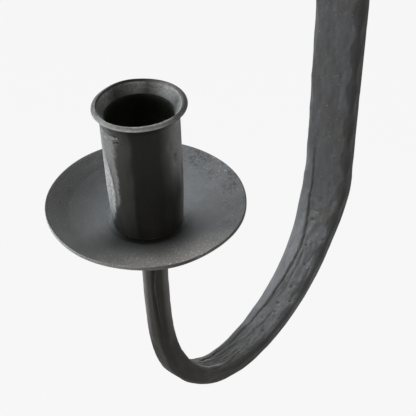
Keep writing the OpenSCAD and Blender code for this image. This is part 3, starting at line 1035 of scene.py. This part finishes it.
def cup_finish():
    """Forge black on the cup, smoother and a little olive, with painted light and shade round it and painted
    highlights on the lip's edges.
    """
    iron = Finish("forged_iron_cup")
    even = iron.place()
    tall = iron.place((1, 1, 0.4))
    mottle = iron.noise(tall, 3.5, 4.0)
    grain = iron.noise(even, 0.7, 3.0, 0.65)
    speckle = iron.noise(even, 0.9, 3.0, 0.7).between(0.36, 0.60)
    streak = iron.noise(iron.place((1, 1, 1), "ring"), 0.6, 2.0).between(0.3, 0.7)
    on_lip = iron.painted("lip")
    worn_and_lit = iron.painted("wear_and_light")
    speckled = 0.8 + worn_and_lit * (speckle * 0.5 - 0.28)
    wear_and_light = worn_and_lit * (speckled * (1 - on_lip) + on_lip * (0.6 + streak * 0.35 + speckle * 0.45))
    # Painted light and shade, from dark olive to near white, by the painted share
    base = iron.mix(wear_and_light.clamped(), (26, 26, 18), (236, 237, 238))
    # Painted highlights on the lip's edges and round the foot
    base = iron.mix(iron.painted("edge") * (0.6 + 0.4 * mottle.between(0.4, 0.6)), base, (228, 225, 216))
    normal = iron.bump(mottle, 0.3)
    normal = iron.bump(grain, 0.05, normal)
    metal = 0.15 + 0.7 * wear_and_light.clamped() * (1 - on_lip)
    iron.set(
        Base_Color=base, Metallic=metal, Roughness=0.34 + 0.2 * mottle + 0.2 * wear_and_light, Normal=normal,
        Specular_IOR_Level=0.15,
    )
    return iron.material


def steel_finish():
    """Plain dull steel of the screw and its washer."""
    steel = Finish("dull_steel")
    even = steel.place()
    wear = steel.noise(even, 1.2, 3.0)
    steel.set(
        Base_Color=steel.mix(wear.between(0.35, 0.65), (88, 88, 88), (112, 111, 108)),
        Metallic=1.0,
        Roughness=0.35 + 0.25 * wear,
        Normal=steel.bump(wear, 0.05),
    )
    return steel.material


def dress(piece, material):
    """Gives a piece one material."""
    piece.data.materials.clear()
    piece.data.materials.append(material)


dress(arm, bar_finish())
dress(pan, pan_finish())
dress(cup, cup_finish())
steel = steel_finish()
for name in ("fixing_screw", "spring_washer"):
    dress(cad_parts[name], steel)

for piece, node, slot in (
    (arm, "arm", "forged_iron"), (pan, "drip_pan", "pan_iron"), (cup, "candle_cup", "cup_iron")
):
    only(piece)
    bpy.ops.object.shade_smooth()
    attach(piece, "root")
    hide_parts(node)


# Floor, backdrop and light

PALE = (247, 247, 247)
GROUND_GREY = (150, 150, 150)
GROUND_GLOW = 1.05
GROUND_SEEN = 0.94
GROUND_SIZE = 8
GROUND_Z = -0.75
SKY_LIGHT = 0.03


def seen_in(nodes):
    """1 on a ray from the camera, from gloss or through glass, and 0 on one that lights the holder."""
    rays = nodes.tree.nodes.new("ShaderNodeLightPath")
    seen = Value(nodes, rays.outputs["Is Camera Ray"]) + Value(nodes, rays.outputs["Is Glossy Ray"])
    return (seen + Value(nodes, rays.outputs["Is Transmission Ray"])).clamped()


studio = Finish("pale_studio")
seen = seen_in(studio)
bright_ground = studio.add("ShaderNodeEmission", None, {"Color": colour(PALE), "Strength": GROUND_GLOW})
lit_ground = studio.add("ShaderNodeBsdfDiffuse", None, {"Color": colour(GROUND_GREY)})
both = studio.add("ShaderNodeMixShader", None, {0: seen * GROUND_SEEN, 1: lit_ground, 2: bright_ground})
studio.end(both, "Material Output", "Surface")

bpy.ops.object.select_all(action="DESELECT")
bpy.ops.mesh.primitive_plane_add(size=GROUND_SIZE, location=(0, 0, GROUND_Z))
ground = bpy.context.active_object
ground.name = "studio_floor"
dress(ground, studio.material)
ground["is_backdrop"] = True

world = bpy.data.worlds.new("studio")
bpy.context.scene.world = world
world.use_nodes = True
sky = Nodes(world.node_tree)
level = sky.add(
    "ShaderNodeMapRange", None, {"Value": seen_in(sky), "To Min": SKY_LIGHT, "To Max": 1.0}
)
sky.end(level, "Background", "Strength")
sky.tree.nodes["Background"].inputs["Color"].default_value = colour(PALE)

COOL = (0.93, 0.97, 1.0)
WARM = (1.0, 0.95, 0.87)


def lamp(kind, name, aim, azimuth, elevation, distance, power, tint):
    """A lamp that looks at the aim from this distance in metres, azimuth 0 in front and 90 at the right."""
    away = direction(math.radians(azimuth), math.radians(elevation))
    bpy.ops.object.select_all(action="DESELECT")
    bpy.ops.object.light_add(type=kind, location=aim + away * distance)
    made = bpy.context.active_object
    made.name = name
    made.rotation_euler = away.to_track_quat("Z", "Y").to_euler()
    made.data.energy = power
    made.data.color = tint
    return made


# Soft square lamps round the holder, as [name, azimuth, elevation, power, tint]
SOFT_AIM = metres((0, AXIS_Y + 20, -100))
SOFT_FAR = 1.1
SOFT_SIZE = 0.75
for name, azimuth, elevation, power, tint in (
    ("high_window", -122, 60, 9.7, COOL), ("side", -60, 10, 7.2, COOL), ("front_left", -20, 8, 2.3, WARM),
    ("window", -118, 13, 0.8, COOL), ("right", 90, 32, 1.1, WARM), ("front", 10, 10, 0.45, WARM),
):
    box = lamp("AREA", name, SOFT_AIM, azimuth, elevation, SOFT_FAR, power, tint)
    box.data.shape = "SQUARE"
    box.data.size = SOFT_SIZE
    box.visible_camera = False

# A narrow lamp from the high left into the cup's mouth, for the glow at the right of its flare
GLOW_R, GLOW_TURN, GLOW_DROP = 13.5, math.radians(155), 2.5
glow_aim = metres((GLOW_R * math.sin(GLOW_TURN), AXIS_Y - GLOW_R * math.cos(GLOW_TURN), CUP_TOP - GLOW_DROP))
glow = lamp("SPOT", "glow", glow_aim, azimuth=-40, elevation=48, distance=0.5, power=10.0, tint=COOL)
glow.data.spot_size = math.radians(2.9)
glow.data.spot_blend = 1.0
glow.data.shadow_soft_size = 0.01

# Camera at the photograph's viewing angle

SIGHT = 324.0
SIGHT_HEIGHT = -90
SIGHT_TURN, SIGHT_RISE = math.radians(46), 0.69216
LOOK_TURN, LOOK_RISE, LOOK_ROLL = math.radians(40.942), math.radians(40.383), 0.02913
FOCAL_PIXELS = 895.97
FRAME_PIXELS = 416

eye = Vector((0, AXIS_Y, SIGHT_HEIGHT)) + SIGHT * direction(SIGHT_TURN, SIGHT_RISE)
forward = -direction(LOOK_TURN, LOOK_RISE)
level_right = Vector((math.cos(LOOK_TURN), math.sin(LOOK_TURN), 0))
level_down = forward.cross(level_right)
right = math.cos(LOOK_ROLL) * level_right + math.sin(LOOK_ROLL) * level_down
down = -math.sin(LOOK_ROLL) * level_right + math.cos(LOOK_ROLL) * level_down
bpy.ops.object.camera_add()
camera = bpy.context.active_object
camera.name = "photo_view"
axes = Matrix((right, -down, -forward)).transposed().to_4x4()
camera.matrix_world = Matrix.Translation(metres(eye)) @ axes
camera.data.sensor_width = 36
camera.data.lens = FOCAL_PIXELS / FRAME_PIXELS * camera.data.sensor_width
camera.data.clip_start = 0.01
camera.data.clip_end = 50
bpy.context.scene.camera = camera
bpy.context.scene.view_settings.view_transform = "Standard"

low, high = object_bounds()
